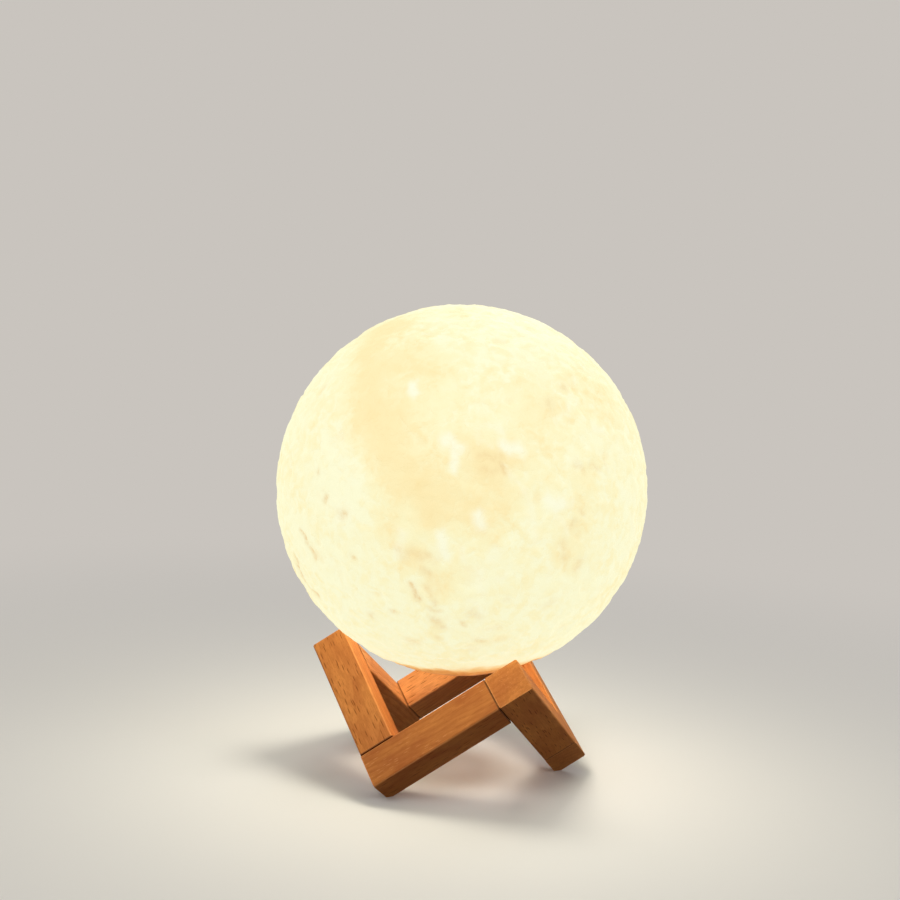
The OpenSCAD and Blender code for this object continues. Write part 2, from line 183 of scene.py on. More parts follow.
def beech(k, heart_angle, board_and_painted_light_tint):
    """Beech with its pith on the side that heart_angle names, in degrees round the bar."""
    material, tree, shader = finish(f"beech_{k}")
    along, across = run_of(k), run_of(k - 1)
    upward = along.cross(across)
    turn = Matrix((across, upward, along)).transposed().to_euler()
    stick = in_mm(tree, corner_of(k), turn)
    heart = math.radians(heart_angle)
    lean = {"Vector": stick, "Rotation": (0.0, math.radians(4), heart)}
    log = node(tree, "ShaderNodeMapping", lean, vector_type="TEXTURE")
    radial = across * math.cos(heart) + upward * math.sin(heart)
    normal = node(tree, "ShaderNodeTexCoord", output="Normal")
    faces_bark = number(tree, "ABSOLUTE", arrow(tree, "DOT_PRODUCT", normal, radial))
    faces_end = number(tree, "ABSOLUTE", arrow(tree, "DOT_PRODUCT", normal, along))

    # Year rings round the pith, which wander a little along the bar
    wander = noise(tree, log, (0.09, 0.09, 0.03), 2.0)
    spread = arrow(tree, "MULTIPLY", log, (1, 1, 0))
    ring_at = arrow(tree, "LENGTH", arrow(tree, "ADD", spread, (pith_away, 3.0, 0)))
    year = number(tree, "MULTIPLY_ADD", wander, 5.0, ring_at)
    year = number(tree, "FRACT", number(tree, "DIVIDE", year, ring_pitch))
    late_wood = number(tree, "MULTIPLY", rise(tree, year, 0.25, 0.9), rise(tree, year, 0.92, 1.0, 1.0, 0.0))

    # Rays: thin plates that run out from the pith, dark dashes where a face cuts them across
    # and pale flakes where it runs along them
    sway = arrow(tree, "MULTIPLY", noise(tree, log, (0.3, 0.3, 0.3), output="Color"), (0, 0.5, 0))
    sheet = arrow(tree, "ADD", log, sway)
    ray = rise(tree, cells(tree, sheet, (0.10, 1.25, 0.13)), 0.14, 0.28, 1.0, 0.0)
    fine_ray = rise(tree, cells(tree, sheet, (0.2, 2.6, 0.40)), 0.12, 0.25, 1.0, 0.0)
    flake = rise(tree, cells(tree, sheet, (1.3, 0.9, 0.22)), 0.14, 0.30, 1.0, 0.0)
    flake = number(tree, "MULTIPLY", flake, rise(tree, wander, 0.42, 0.55))

    fibre = noise(tree, stick, (4.5, 4.5, 0.14), 4.0, 0.65)
    curl = noise(tree, stick, (0.9, 0.9, 0.22), 3.0, 0.6)
    cloud = noise(tree, stick, (0.11, 0.11, 0.05), 2.0)

    colour = mix(tree, rise(tree, cloud, 0.3, 0.7), paint(235, 155, 78), paint(200, 121, 62))
    # The tint carries painted light and shade as well as the board's own tone
    colour = mix(tree, 0.4, colour, paint(*board_and_painted_light_tint))
    colour = mix(tree, number(tree, "MULTIPLY", late_wood, 0.22), colour, paint(166, 82, 32))
    colour = mix(tree, rise(tree, curl, 0.42, 0.62, 0.0, 0.22), colour, paint(160, 82, 36))
    colour = mix(tree, rise(tree, fibre, 0.35, 0.75, 0.0, 0.26), colour, paint(150, 74, 30))
    pale_flake = number(tree, "MULTIPLY", flake, rise(tree, faces_bark, 0.2, 0.8, 0.28, 0.0))
    colour = mix(tree, pale_flake, colour, paint(240, 172, 108))
    dash = number(tree, "MULTIPLY", ray, rise(tree, faces_bark, 0.3, 0.95, 0.0, 0.75))
    colour = mix(tree, dash, colour, paint(128, 60, 22))
    fine_dash = number(tree, "MULTIPLY", fine_ray, rise(tree, faces_bark, 0.2, 0.9, 0.16, 0.30))
    colour = mix(tree, fine_dash, colour, paint(150, 78, 34))
    colour = mix(tree, rise(tree, faces_end, 0.6, 0.95, 0.0, 0.15), colour, paint(170, 92, 42))

    # The eased edges are painted paler, a painted highlight where they would catch the light: a point is near
    # an edge where two of its three distances from the middle are close to the bar's half size
    size = arrow(tree, "ABSOLUTE", arrow(tree, "SUBTRACT", stick, (0, 0, bar_middle)))
    size = parts_of(tree, arrow(tree, "SUBTRACT", size, (0, 0, bar_middle)))
    low = number(tree, "MINIMUM", size[0], size[1])
    high = number(tree, "MAXIMUM", size[0], size[1])
    second = number(tree, "MAXIMUM", low, number(tree, "MINIMUM", high, size[2]))
    near_edge = rise(tree, second, bar_half - 0.6, bar_half - 0.2)
    painted_edge_highlight = number(tree, "MULTIPLY", near_edge, rise(tree, cloud, 0.2, 0.6, 0.05, 0.3))
    # Painted highlight along the eased edges
    colour = mix(tree, painted_edge_highlight, colour, paint(242, 170, 106))
    # Darker in the last half millimetre before the far end, where it butts against the next bar
    butted = rise(tree, parts_of(tree, stick)[2], bar_end - 0.6, bar_end - 0.25, 0.0, 0.7)
    feed(shader, "Base Color", mix(tree, butted, colour, paint(72, 32, 12)))

    shader.inputs["Specular IOR Level"].default_value = 0.08
    feed(shader, "Roughness", rise(tree, fibre, 0.2, 0.8, 0.56, 0.72))
    raised, sunken = number(tree, "MULTIPLY", fibre, 0.5), number(tree, "MULTIPLY", ray, 0.6)
    height = number(tree, "SUBTRACT", raised, sunken)
    feed(shader, "Normal", bump(tree, height, 0.02))
    return material


heart_angles = (8, 12, 84, 15, 80, 20)
# Each bar's tint is partly its board's tone and partly painted light: bar 2's is darker, a painted shade, and
# those of bars 5 and 6 paler, painted light from the globe
board_and_painted_light_tints = [(220, 140, 72), (160, 90, 46), (213, 134, 70), (220, 146, 80), (242, 180, 116), (242, 181, 118)]
for k in range(1, 7):
    dress(f"bar_{k}", beech(k, heart_angles[k - 1], board_and_painted_light_tints[k - 1]))

# ---- Cord ----
# A round elastic cord, braided from white polyester over rubber, runs through all six bars.
# Its ends meet in a crimped aluminium sleeve inside the first bar.

braid_turns = 8
braid_lay = 1.6


def braided(k):
    """Two sets of strands that wind round the cord opposite ways."""
    material, tree, shader = finish(f"braid_{k}", 0.8)
    along, across = run_of(k), run_of(k - 1)
    turn = Matrix((across, along.cross(across), along)).transposed().to_euler()
    spot = parts_of(tree, in_mm(tree, corner_of(k), turn))
    angle = number(tree, "MULTIPLY", number(tree, "ARCTAN2", spot[1], spot[0]), braid_turns)
    climb = number(tree, "MULTIPLY", spot[2], 2 * math.pi / braid_lay)
    one_way = number(tree, "SINE", number(tree, "ADD", angle, climb))
    other_way = number(tree, "SINE", number(tree, "SUBTRACT", angle, climb))
    weave = number(tree, "MULTIPLY", one_way, other_way)
    # The white strands are painted darker where they dip under one another: painted shade in the weave's
    # hollows
    shade = mix(tree, rise(tree, weave, -0.9, 0.6), paint(176, 168, 152), paint(240, 235, 222))
    feed(shader, "Base Color", shade)
    feed(shader, "Normal", bump(tree, weave, 0.05))
    return material


for k in range(1, 7):
    dress(f"cord_{k}", braided(k))

material, tree, shader = finish("crimped_aluminium", 0.35, 1.0)
scratch = noise(tree, in_mm(tree), (3.0, 3.0, 3.0), 5.0)
feed(shader, "Base Color", mix(tree, scratch, paint(172, 172, 176), paint(212, 212, 216)))
feed(shader, "Normal", bump(tree, scratch, 0.02))
dress("cord_sleeve", material)

# ---- Globe ----
# A hollow ball, printed in white plastic with the moon's face in low relief, and lit from
# inside: the wall glows cream where it is thin and peach where it is thick.

shell_low, shell_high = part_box("globe_shell")
globe_r = (shell_high.x - shell_low.x) / 2
centre = Vector((0, 0, shell_high.z - globe_r))
wall = 1.6 * MM
mouth_r = 17.0 * MM
cells_across = 118
# The relief, in millimetres: how far its level ground and its deepest place lie below the ball
sunk = 0.4
deepest = 1.2
# Below this height, in radii under the middle, the wall is the smooth ring round the mouth
ring_height = 0.962
ring_blend = 0.015

# The camera that was fitted to the photograph, finer than the scene's: its three axes, its lens
# and its middle in pixels, and the size of a pixel on the globe in millimetres
photo_right = np.array((0.9982, -0.0231, 0.0547))
photo_down = np.array((0.0524, -0.0901, -0.9945))
photo_ahead = np.array((0.0279, 0.9957, -0.0888))
photo_lens = 1320.1
photo_middle = 450
pixel_mm = 0.404

# What the photograph shows on the globe, listed in its 900 by 900 pixels.
# Seas, and the brightest land where the strength is below zero: x, y, reach and strength
sea_picks = [
    (383, 328, 22, 0.75), (364, 352, 16, 0.45), (366, 376, 22, 0.5), (404, 352, 22, 0.35),
    (430, 372, 24, 0.3), (366, 416, 20, 0.45), (384, 444, 20, 0.42), (402, 412, 22, 0.32),
    (400, 478, 22, 0.42), (424, 492, 18, 0.3), (431, 519, 13, 0.42), (456, 500, 20, 0.32),
    (440, 455, 24, 0.2), (462, 438, 12, 0.25), (482, 454, 14, 0.45), (506, 456, 12, 0.4),
    (494, 482, 18, 0.3), (514, 500, 14, 0.25), (486, 530, 16, 0.3), (470, 516, 14, 0.2),
    (388, 530, 12, 0.38), (414, 556, 11, 0.5), (444, 582, 14, 0.42), (396, 566, 10, 0.2),
    (546, 410, 20, 0.2), (540, 450, 22, 0.18), (600, 396, 26, 0.25), (588, 478, 16, 0.28),
    (578, 518, 14, 0.28), (570, 556, 14, 0.28), (626, 570, 14, 0.15), (520, 395, 26, 0.12),
    (458, 310, 14, 0.25), (500, 639, 20, 0.08), (302, 442, 12, 0.12), (338, 484, 20, -0.35),
    (330, 440, 12, -0.18), (352, 508, 16, -0.22), (442, 338, 8, -0.25), (500, 340, 22, -0.08),
    (626, 498, 8, -0.18), (618, 545, 14, -0.18), (300, 540, 20, -0.1), (350, 600, 40, -0.1),
    (450, 618, 30, -0.06), (540, 620, 30, -0.08),
]
# Strokes of light and of shade: x and y of each end, width and strength
bright_picks = [
    (447, 441, 457, 446, 6, 0.9), (452, 448, 452, 470, 4, 0.9), (480, 427, 492, 424, 3, 0.7),
    (478, 429, 477, 440, 3, 0.6), (480, 443, 492, 446, 3, 0.6), (497, 428, 505, 440, 3.5, 0.8),
    (506, 445, 521, 449, 6, 1), (503, 466, 512, 480, 3, 0.6), (512, 480, 522, 492, 3.5, 0.7),
    (522, 492, 529, 512, 4.5, 0.6), (529, 512, 533, 538, 6, 0.7), (479, 514, 483, 526, 5, 0.9),
    (413, 385, 412, 393, 4.5, 1), (400, 533, 397, 556, 4.5, 0.8), (440, 537, 444, 556, 5, 0.9),
    (462, 552, 462, 560, 3, 0.8), (495, 551, 490, 560, 5, 0.8), (479, 572, 482, 590, 5, 0.7),
    (498, 580, 504, 577, 3.5, 0.7), (470, 600, 484, 612, 3.5, 0.6), (552, 420, 566, 412, 3.5, 0.7),
    (566, 412, 572, 398, 3.5, 0.6), (560, 380, 570, 386, 3, 0.5), (596, 430, 600, 428, 4.5, 0.8),
    (550, 502, 560, 507, 6, 0.9), (563, 505, 572, 500, 5, 0.8), (556, 516, 566, 530, 4.5, 0.6),
    (546, 560, 548, 580, 4, 0.5), (573, 459, 578, 464, 4.5, 0.7), (590, 448, 600, 452, 3.5, 0.5),
    (624, 492, 634, 500, 8, 0.6), (631, 522, 635, 538, 8, 0.6), (620, 560, 628, 552, 6, 0.5),
    (342, 512, 342, 512, 15, 0.7), (338, 440, 352, 480, 13, 0.5), (330, 560, 350, 590, 10, 0.4),
    (520, 350, 540, 370, 14, 0.3), (600, 590, 610, 575, 8, 0.5),
]
dark_picks = [
    (342, 512, 342, 512, 5, 0.7), (323, 497, 324, 500, 3, 1), (317, 474, 317, 474, 3, 0.7),
    (352, 556, 352, 557, 3, 0.9), (393, 614, 393, 614, 3, 0.8), (300, 532, 304, 541, 2.6, 1),
    (308, 548, 315, 562, 2.8, 1), (295, 560, 300, 576, 4.5, 1), (300, 578, 304, 583, 3, 0.8),
    (308, 588, 317, 597, 3, 1), (321, 388, 321, 390, 3, 0.5), (370, 614, 372, 618, 3, 0.5),
    (409, 587, 417, 599, 3.2, 1), (420, 569, 429, 577, 3.5, 0.5), (427, 592, 432, 604, 3, 0.6),
    (402, 553, 428, 559, 6, 0.35), (431, 609, 440, 612, 3.2, 0.5), (433, 621, 439, 629, 5, 0.6),
    (470, 613, 478, 618, 5, 0.5), (462, 624, 462, 624, 3, 0.8), (409, 641, 416, 643, 5, 0.45),
    (437, 638, 437, 639, 4, 0.5), (477, 641, 481, 643, 4, 0.5), (477, 455, 499, 455, 3.5, 0.35),
    (481, 470, 498, 472, 3.5, 0.35), (500, 464, 503, 472, 2.6, 0.7), (576, 466, 582, 470, 3.5, 0.4),
    (591, 463, 596, 468, 3.5, 0.4), (605, 454, 606, 470, 3, 0.3), (564, 388, 564, 388, 4, 0.6),
    (550, 404, 551, 406, 6, 0.4), (572, 524, 572, 525, 5, 0.5), (561, 546, 566, 559, 6, 0.35),
    (576, 570, 582, 561, 5, 0.35), (583, 512, 583, 512, 3.2, 0.5), (505, 602, 505, 602, 3, 0.5),
    (546, 605, 554, 601, 5, 0.3),
]
# Seas that the photograph doesn't show: azimuth and elevation in degrees, reach in
# millimetres, and strength
far_seas = [
    (12, 22, 14, 0.5), (32, 8, 13, 0.45), (48, 24, 10, 0.35), (62, -18, 10, 0.45), (78, 40, 12, 0.3),
    (95, -40, 9, 0.4), (112, 26, 14, 0.5), (128, 12, 12, 0.4), (150, 6, 11, 0.4), (146, -24, 8, 0.3),
    (-172, -33, 9, 0.3), (20, -44, 7, 0.3), (168, 55, 10, 0.35), (80, 2, 10, -0.2), (5, -12, 9, -0.2),
    (60, 62, 9, -0.15), (130, -8, 8, -0.2), (175, 20, 10, -0.2),
]
# What looks at the render changed: larger seas, wider bright strokes, and all of these but the
# strong ones fainter
sea_growth = 1.2
bright_growth = 1.3
strong = 0.9
bright_softening = 0.65
far_strokes = 38


def facing(x, y):
    """Azimuth and elevation, in whole degrees, of the point of the globe that a pixel shows."""
    across = photo_right * (x - photo_middle) / photo_lens
    down = photo_down * (y - photo_middle) / photo_lens
    ray = photo_ahead + across + down
    ray /= np.linalg.norm(ray)
    start = np.array(camera.location - centre) / globe_r
    along = start @ ray
    way = start - ray * (along + math.sqrt(along ** 2 - start @ start + 1))
    azimuth = math.degrees(math.atan2(way[1], way[0]))
    elevation = math.degrees(math.asin(way[2]))
    return round(round(azimuth, 1)), round(round(elevation, 1))


def grown(pixels, growth, places=None):
    """A size in pixels as millimetres on the globe, rounded before and after it is enlarged."""
    return round(growth * round(pixels * pixel_mm, places), places)


def strokes_of(picks, growth, softening):
    """Picked strokes with their ends as azimuth and elevation and their widths in millimetres."""
    strokes = []
    for x_a, y_a, x_b, y_b, width, strength in picks:
        if strength < strong:
            strength = round(softening * strength, 2)
        strokes.append((*facing(x_a, y_a), *facing(x_b, y_b), grown(width, growth, 1), strength))
    return strokes


seas = [(*facing(x, y), grown(reach, sea_growth), strength) for x, y, reach, strength in sea_picks]
for azimuth, elevation, reach, strength in far_seas:
    seas.append((azimuth, elevation, round(sea_growth * reach), strength))
bright_strokes = strokes_of(bright_picks, bright_growth, bright_softening)
dark_strokes = strokes_of(dark_picks, 1.0, 1.0)
# The side away from the camera gets as many strokes, in places drawn by lot
lot = np.random.default_rng(9)
for strokes in (bright_strokes, dark_strokes):
    for i in range(far_strokes):
        azimuth = lot.uniform(-8, 188)
        elevation = math.degrees(math.asin(lot.uniform(-0.8, 0.97)))
        reach_a, reach_b = lot.uniform(-6, 6, 2)
        width, strength = lot.uniform(1.2, 2.6), lot.uniform(0.3, 0.9)
        strokes.append((azimuth, elevation, azimuth + reach_a, elevation + reach_b, width, strength))


def toward(azimuth, elevation):
    a, e = math.radians(azimuth), math.radians(elevation)
    return np.array((math.cos(a) * math.cos(e), math.sin(a) * math.cos(e), math.sin(e)))


def cube_ball():
    """A ball of square faces: a cube's grid, blown up so that all its cells are about alike."""
    ball = bmesh.new()
    bmesh.ops.create_cube(ball, size=2)
    bmesh.ops.subdivide_edges(ball, edges=ball.edges, cuts=cells_across - 1, use_grid_fill=True)
    for vert in ball.verts:
        even = Vector([math.tan(math.pi / 4 * part) for part in vert.co])
        vert.co = centre + even.normalized() * globe_r
    return ball


def turned(outline, middle=(0, 0), steps=96):
    """A body turned about an upright axis from its half section, points of radius and height."""
    body = bmesh.new()
    points = [body.verts.new((middle[0] + x, middle[1], z)) for x, z in outline]
    edges = [body.edges.new(pair) for pair in zip(points, points[1:])]
    hub = (middle[0], middle[1], 0)
    bmesh.ops.spin(body, geom=edges, axis=(0, 0, 1), cent=hub, angle=2 * math.pi, steps=steps)
    bmesh.ops.remove_doubles(body, verts=body.verts, dist=1e-6)
    bmesh.ops.recalc_face_normals(body, faces=body.faces)
    return body


def hollow():
    """What is cut away: the inside, the mouth, and all that lies below the flat ring."""
    inner_r = globe_r - wall
    flat_z = shell_low.z
    start = math.asin(mouth_r / inner_r)
    outside = 1.2 * globe_r
    outline = [(0, flat_z - wall * 10), (outside, flat_z - wall * 10), (outside, flat_z), (mouth_r, flat_z)]
    for angle in np.linspace(start, math.pi, 49):
        outline.append((inner_r * math.sin(angle), centre.z - inner_r * math.cos(angle)))
    return turned(outline)


def piece(name, built):
    """A new object made of a bmesh, in the scene."""
    mesh = bpy.data.meshes.new(name)
    built.to_mesh(mesh)
    built.free()
    made = bpy.data.objects.new(name, mesh)
    bpy.context.scene.collection.objects.link(made)
    return made


def settle(worked):
    """Applies an object's modifiers."""
    bpy.context.view_layer.update()
    graph = bpy.context.evaluated_depsgraph_get()
    mesh = bpy.data.meshes.new_from_object(worked.evaluated_get(graph), depsgraph=graph)
    worked.modifiers.clear()
    worked.data = mesh


def brushed(ways, strokes):
    """How strongly each direction lies on one of the strokes."""
    share = np.zeros(len(ways))
    ways = ways + 0.008 * np.sin(80 * ways[:, (1, 2, 0)])
    for azimuth_a, elevation_a, azimuth_b, elevation_b, width, strength in strokes:
        start = toward(azimuth_a, elevation_a)
        run = toward(azimuth_b, elevation_b) - start
        along = np.clip((ways - start) @ run / max(run @ run, 1e-9), 0, 1)
        away = np.linalg.norm(ways - start - along[:, None] * run, axis=1) * globe_r / MM
        share = np.maximum(share, strength * np.exp(-((away / width) ** 2)))
    return share


def survey(mesh):
    """Writes what each point of the shell belongs to: how far inside a sea it lies, how much
    light and shade the strokes give it, and whether it is on the outside."""
    spots = np.empty(len(mesh.vertices) * 3)
    mesh.vertices.foreach_get("co", spots)
    spots = spots.reshape(-1, 3) - np.array(centre)
    reach = np.linalg.norm(spots, axis=1)
    ways = spots / reach[:, None]
    sea = np.zeros(len(ways))
    for azimuth, elevation, size, strength in seas:
        away = np.arccos(np.clip(ways @ toward(azimuth, elevation), -1, 1)) * globe_r / MM
        sea += strength * np.exp(-((away / size) ** 2))
    above_ring = np.clip((ways[:, 2] + ring_height) / ring_blend, 0, 1)
    marks = {
        "sea": sea,
        "bright": brushed(ways, bright_strokes),
        "dark": brushed(ways, dark_strokes),
        "outside": (reach > globe_r - 0.3 * wall) * above_ring,
    }
    for name, values in marks.items():
        mesh.attributes.new(name, "FLOAT", "POINT").data.foreach_set("value", values.astype(np.float32))


def relief_tree(material):
    """Random craters of three sizes and a rough ground, pressed into the outside."""
    tree = bpy.data.node_groups.new("moon_relief", "GeometryNodeTree")
    sizes = ("Centre Height", "Radius", "Large Cell", "Middle Cell", "Small Cell", "Depth", "Roughness")
    tree.interface.new_socket(name="Shell", in_out="INPUT", socket_type="NodeSocketGeometry")
    tree.interface.new_socket(name="Shell", in_out="OUTPUT", socket_type="NodeSocketGeometry")
    for name in sizes:
        tree.interface.new_socket(name=name, in_out="INPUT", socket_type="NodeSocketFloat")
    given = tree.nodes.new("NodeGroupInput").outputs
    at = node(tree, "GeometryNodeInputPosition")
    middle = node(tree, "ShaderNodeCombineXYZ", {2: given["Centre Height"]})
    way = arrow(tree, "NORMALIZE", arrow(tree, "SUBTRACT", at, middle))
    ball = arrow(tree, "SCALE", way)
    tree.links.new(given["Radius"], ball.node.inputs["Scale"])

    def field(name):
        return node(tree, "GeometryNodeInputNamedAttribute", {"Name": name}, data_type="FLOAT")

    calm = rise(tree, field("sea"), 0.25, 0.8, 1.0, 0.2)
    total = number(tree, "MULTIPLY", field("dark"), -0.45)
    total = number(tree, "MULTIPLY_ADD", field("bright"), 0.15, total)
    craters = (("Large Cell", 1.0, 3.1), ("Middle Cell", 0.62, 7.7), ("Small Cell", 0.4, 1.9))
    for cell, share, shift in craters:
        scale = number(tree, "DIVIDE", 1.0, given[cell])
        spot = arrow(tree, "ADD", ball, (shift, 0, shift))
        far = node(tree, "ShaderNodeTexVoronoi", {"Vector": spot, "Scale": scale}, "Distance")
        profile = node(tree, "ShaderNodeFloatCurve", {"Value": far})
        curve = profile.node.mapping.curves[0]
        curve.points[0].location = (0.0, 0.22)
        curve.points[1].location = (1.0, 0.6)
        for x, y in ((0.22, 0.26), (0.36, 0.66), (0.42, 0.86), (0.52, 0.66), (0.64, 0.6)):
            curve.points.new(x, y)
        profile.node.mapping.update()
        press = number(tree, "MULTIPLY", number(tree, "SUBTRACT", profile, 0.6), share)
        press = number(tree, "MULTIPLY", number(tree, "MULTIPLY", press, given["Depth"]), calm)
        total = number(tree, "ADD", total, press)
    hills = {"Vector": ball, "Scale": 0.16, "Detail": 5.0, "Roughness": 0.6}
    ground = node(tree, "ShaderNodeTexNoise", hills)
    ground = number(tree, "MULTIPLY", number(tree, "SUBTRACT", ground, 0.5), given["Roughness"])
    ground = number(tree, "MULTIPLY", ground, rise(tree, field("sea"), 0.25, 0.8, 1.0, 0.5))
    total = number(tree, "ADD", total, ground)
    total = number(tree, "MINIMUM", number(tree, "SUBTRACT", total, sunk), 0.0)
    total = number(tree, "MAXIMUM", total, -deepest)
    total = number(tree, "MULTIPLY", total, field("outside"))
    kept = {"Geometry": given["Shell"], "Name": "relief", "Value": total}
    shell = node(tree, "GeometryNodeStoreNamedAttribute", kept, data_type="FLOAT", domain="POINT")
    push = arrow(tree, "SCALE", way)
    tree.links.new(number(tree, "MULTIPLY", total, MM), push.node.inputs["Scale"])
    shell = node(tree, "GeometryNodeSetPosition", {"Geometry": shell, "Offset": push})
    shell = node(tree, "GeometryNodeRealizeInstances", {"Geometry": shell})
    shell = node(tree, "GeometryNodeSetMaterial", {"Geometry": shell, "Material": material})
    tree.links.new(shell, tree.nodes.new("NodeGroupOutput").inputs["Shell"])
    return tree


def moon_glow():
    """The printed wall, mostly seen by its own light."""
    material, tree, shader = finish("moon_print", 0.62)
    spot = in_mm(tree, centre)

    def field(name):
        return node(tree, "ShaderNodeAttribute", output="Fac", attribute_name=name)

    def around(value, spread):
        """Noise as something to add: spread times its distance from the middle."""
        return number(tree, "MULTIPLY", number(tree, "SUBTRACT", value, 0.5), spread)

    swirl = arrow(tree, "MULTIPLY", noise(tree, spot, (0.15,) * 3, 2.0, output="Color"), (6.0,) * 3)
    swept = arrow(tree, "ADD", spot, swirl)
    coast = noise(tree, spot, (0.06,) * 3, 5.0, 0.6)
    mottle = noise(tree, swept, (0.24,) * 3, 3.0, 0.5)
    grit = noise(tree, swept, (0.6,) * 3, 4.0, 0.55)
    sea = number(tree, "ADD", field("sea"), around(coast, 0.5))
    sea = rise(tree, sea, -0.35, 0.85, -0.18, 0.82)
    inland = rise(tree, coast, 0.40, 0.60, 0.35, 1.0)
    rugged = number(tree, "MULTIPLY", rise(tree, sea, 0.3, 0.8, 1.0, 0.35), inland)
    uneven = number(tree, "ADD", around(mottle, 1.7), around(grit, 0.55))
    shade = number(tree, "MULTIPLY_ADD", uneven, rugged, number(tree, "ADD", sea, 0.20))

    colour = mix(tree, rise(tree, shade, 0.0, 0.45), paint(255, 253, 214), paint(255, 247, 199))
    colour = mix(tree, rise(tree, shade, 0.35, 0.95), colour, paint(255, 237, 181))
    colour = mix(tree, rise(tree, shade, 0.90, 1.30), colour, paint(252, 228, 166))
    lit = rise(tree, number(tree, "ADD", field("bright"), around(grit, 0.6)), 0.0, 1.1)
    colour = mix(tree, lit, colour, paint(255, 254, 224))
    shaded = number(tree, "MULTIPLY", field("dark"), rise(tree, grit, 0.35, 0.65, 0.9, 0.4))
    colour = mix(tree, shaded, colour, paint(234, 200, 144))
    depth = rise(tree, field("relief"), -0.62, -1.1, 0.0, 0.25)
    colour = mix(tree, depth, colour, paint(248, 222, 166))

    # Light leaves a slope less well than level ground
    sloped = bump(tree, number(tree, "ADD", mottle, number(tree, "MULTIPLY", grit, 0.4)), 0.7)
    level = arrow(tree, "DOT_PRODUCT", node(tree, "ShaderNodeNewGeometry", output="Normal"), sloped)
    colour = mix(tree, rise(tree, level, 0.90, 1.0, 0.16, 0.0), colour, paint(236, 190, 124))

    # The housing keeps the light from the lowest part, which glows a dim orange
    way = parts_of(tree, arrow(tree, "NORMALIZE", spot))
    below = number(tree, "MULTIPLY_ADD", way[0], -0.09, number(tree, "ADD", way[2], around(coast, 0.012)))
    colour = mix(tree, rise(tree, below, -0.850, -0.895), colour, paint(250, 206, 134))
    colour = mix(tree, rise(tree, below, -0.880, -0.925), colour, paint(226, 150, 74))
    colour = mix(tree, rise(tree, below, -0.935, -0.965), colour, paint(188, 108, 48))
    feed(shader, "Emission Color", colour)
    shader.inputs["Emission Strength"].default_value = 0.9
    feed(shader, "Base Color", mix(tree, 0.84, colour, (0.0, 0.0, 0.0, 1.0)))
    feed(shader, "Normal", sloped)
    return material


globe = piece("moon_globe", cube_ball())
cutter = piece("hollow", hollow())
cut = globe.modifiers.new("hollow", "BOOLEAN")
cut.operation = "DIFFERENCE"
cut.solver = "EXACT"
cut.object = cutter
settle(globe)
bpy.data.objects.remove(cutter)
survey(globe.data)
press = globe.modifiers.new("relief", "NODES")
press.node_group = relief_tree(moon_glow())
press_sizes = {
    "Centre Height": centre.z, "Radius": globe_r / MM, "Large Cell": 17.0, "Middle Cell": 10.0,
    "Small Cell": 5.5, "Depth": 0.9, "Roughness": 1.7,
}
for socket in press.node_group.interface.items_tree:
    if socket.name in press_sizes:
        press[socket.identifier] = press_sizes[socket.name]
settle(globe)
globe.data.shade_smooth()
globe.data.set_sharp_from_angle(angle=math.radians(35))
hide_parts("globe_shell")
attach(globe, "globe")

# ---- Neck ring and housing ----
# The neck ring is moulded in white plastic and glued into the globe's hole, where its lip
# hooks over the edge. The housing, moulded likewise, plugs into it and holds the electronics.


def moulded(name, colour, grain=3.0, depth=0.02, roughness=0.45):
    """Moulded plastic: the mould's fine grain, slightly uneven in colour and gloss."""
    material, tree, shader = finish(name, roughness)
    spot = in_mm(tree)
    speck = noise(tree, spot, (grain,) * 3, 4.0, 0.6)
    cloud = noise(tree, spot, (0.12,) * 3, 3.0)
    darker = paint(*[0.93 * part for part in colour])
    feed(shader, "Base Color", mix(tree, rise(tree, cloud, 0.3, 0.7), paint(*colour), darker))
    feed(shader, "Roughness", rise(tree, speck, 0.2, 0.8, roughness - 0.08, roughness + 0.08))
    feed(shader, "Normal", bump(tree, speck, depth))
    return material


dress("neck_ring", moulded("neck_plastic", (240, 235, 224)))
dress("base_housing", moulded("housing_plastic", (242, 238, 229)))

# ---- Cover and screws ----
# The round cover closes the housing from below. It is moulded in matt white plastic with a
# coarser grain, and three zinc-plated cross-head screws hold it to the housing's posts.

dress("base_cover", moulded("cover_plastic", (238, 234, 225), 1.8, 0.04, 0.55))


def middles(name):
    """The upright axis of each loose solid in a node, in millimetres."""
    mesh = bmesh.new()
    mesh.from_mesh(frame["nodes"][name].data)
    bmesh.ops.remove_doubles(mesh, verts=mesh.verts, dist=1e-6)
    left = set(mesh.verts)
    found = []
    while left:
        group = [left.pop()]
        for vert in group:
            near = {edge.other_vert(vert) for edge in vert.link_edges} & left
            left -= near
            group.extend(near)
        xs = [vert.co.x for vert in group]
        ys = [vert.co.y for vert in group]
        found.append(Vector((min(xs) + max(xs), min(ys) + max(ys), 0)) / 2 / MM)
    mesh.free()
    return found


def plated_screws(name):
    """Zinc-plated steel: turned rings round each screw, with the plating's faint clouds."""
    material, tree, shader = finish(f"zinc_{name}", 0.3, 1.0)
    spot = in_mm(tree)
    flat = arrow(tree, "MULTIPLY", spot, (1, 1, 0))
    away = None
    for middle in middles(name):
        distance = arrow(tree, "DISTANCE", flat, middle)
        away = distance if away is None else number(tree, "MINIMUM", away, distance)
    ring = number(tree, "SINE", number(tree, "MULTIPLY", away, 40.0))
    plating = noise(tree, spot, (1.2,) * 3, 4.0)
    feed(shader, "Base Color", mix(tree, plating, paint(158, 160, 168), paint(206, 206, 204)))
    feed(shader, "Roughness", rise(tree, plating, 0.2, 0.8, 0.22, 0.42))
    feed(shader, "Normal", bump(tree, ring, 0.01))
    return material


dress("cover_screws", plated_screws("cover_screws"))

# ---- Control board ----
# A round board of glass fibre under green solder mask, held by two screws. It carries the
# chips and the charge light on its lower side.

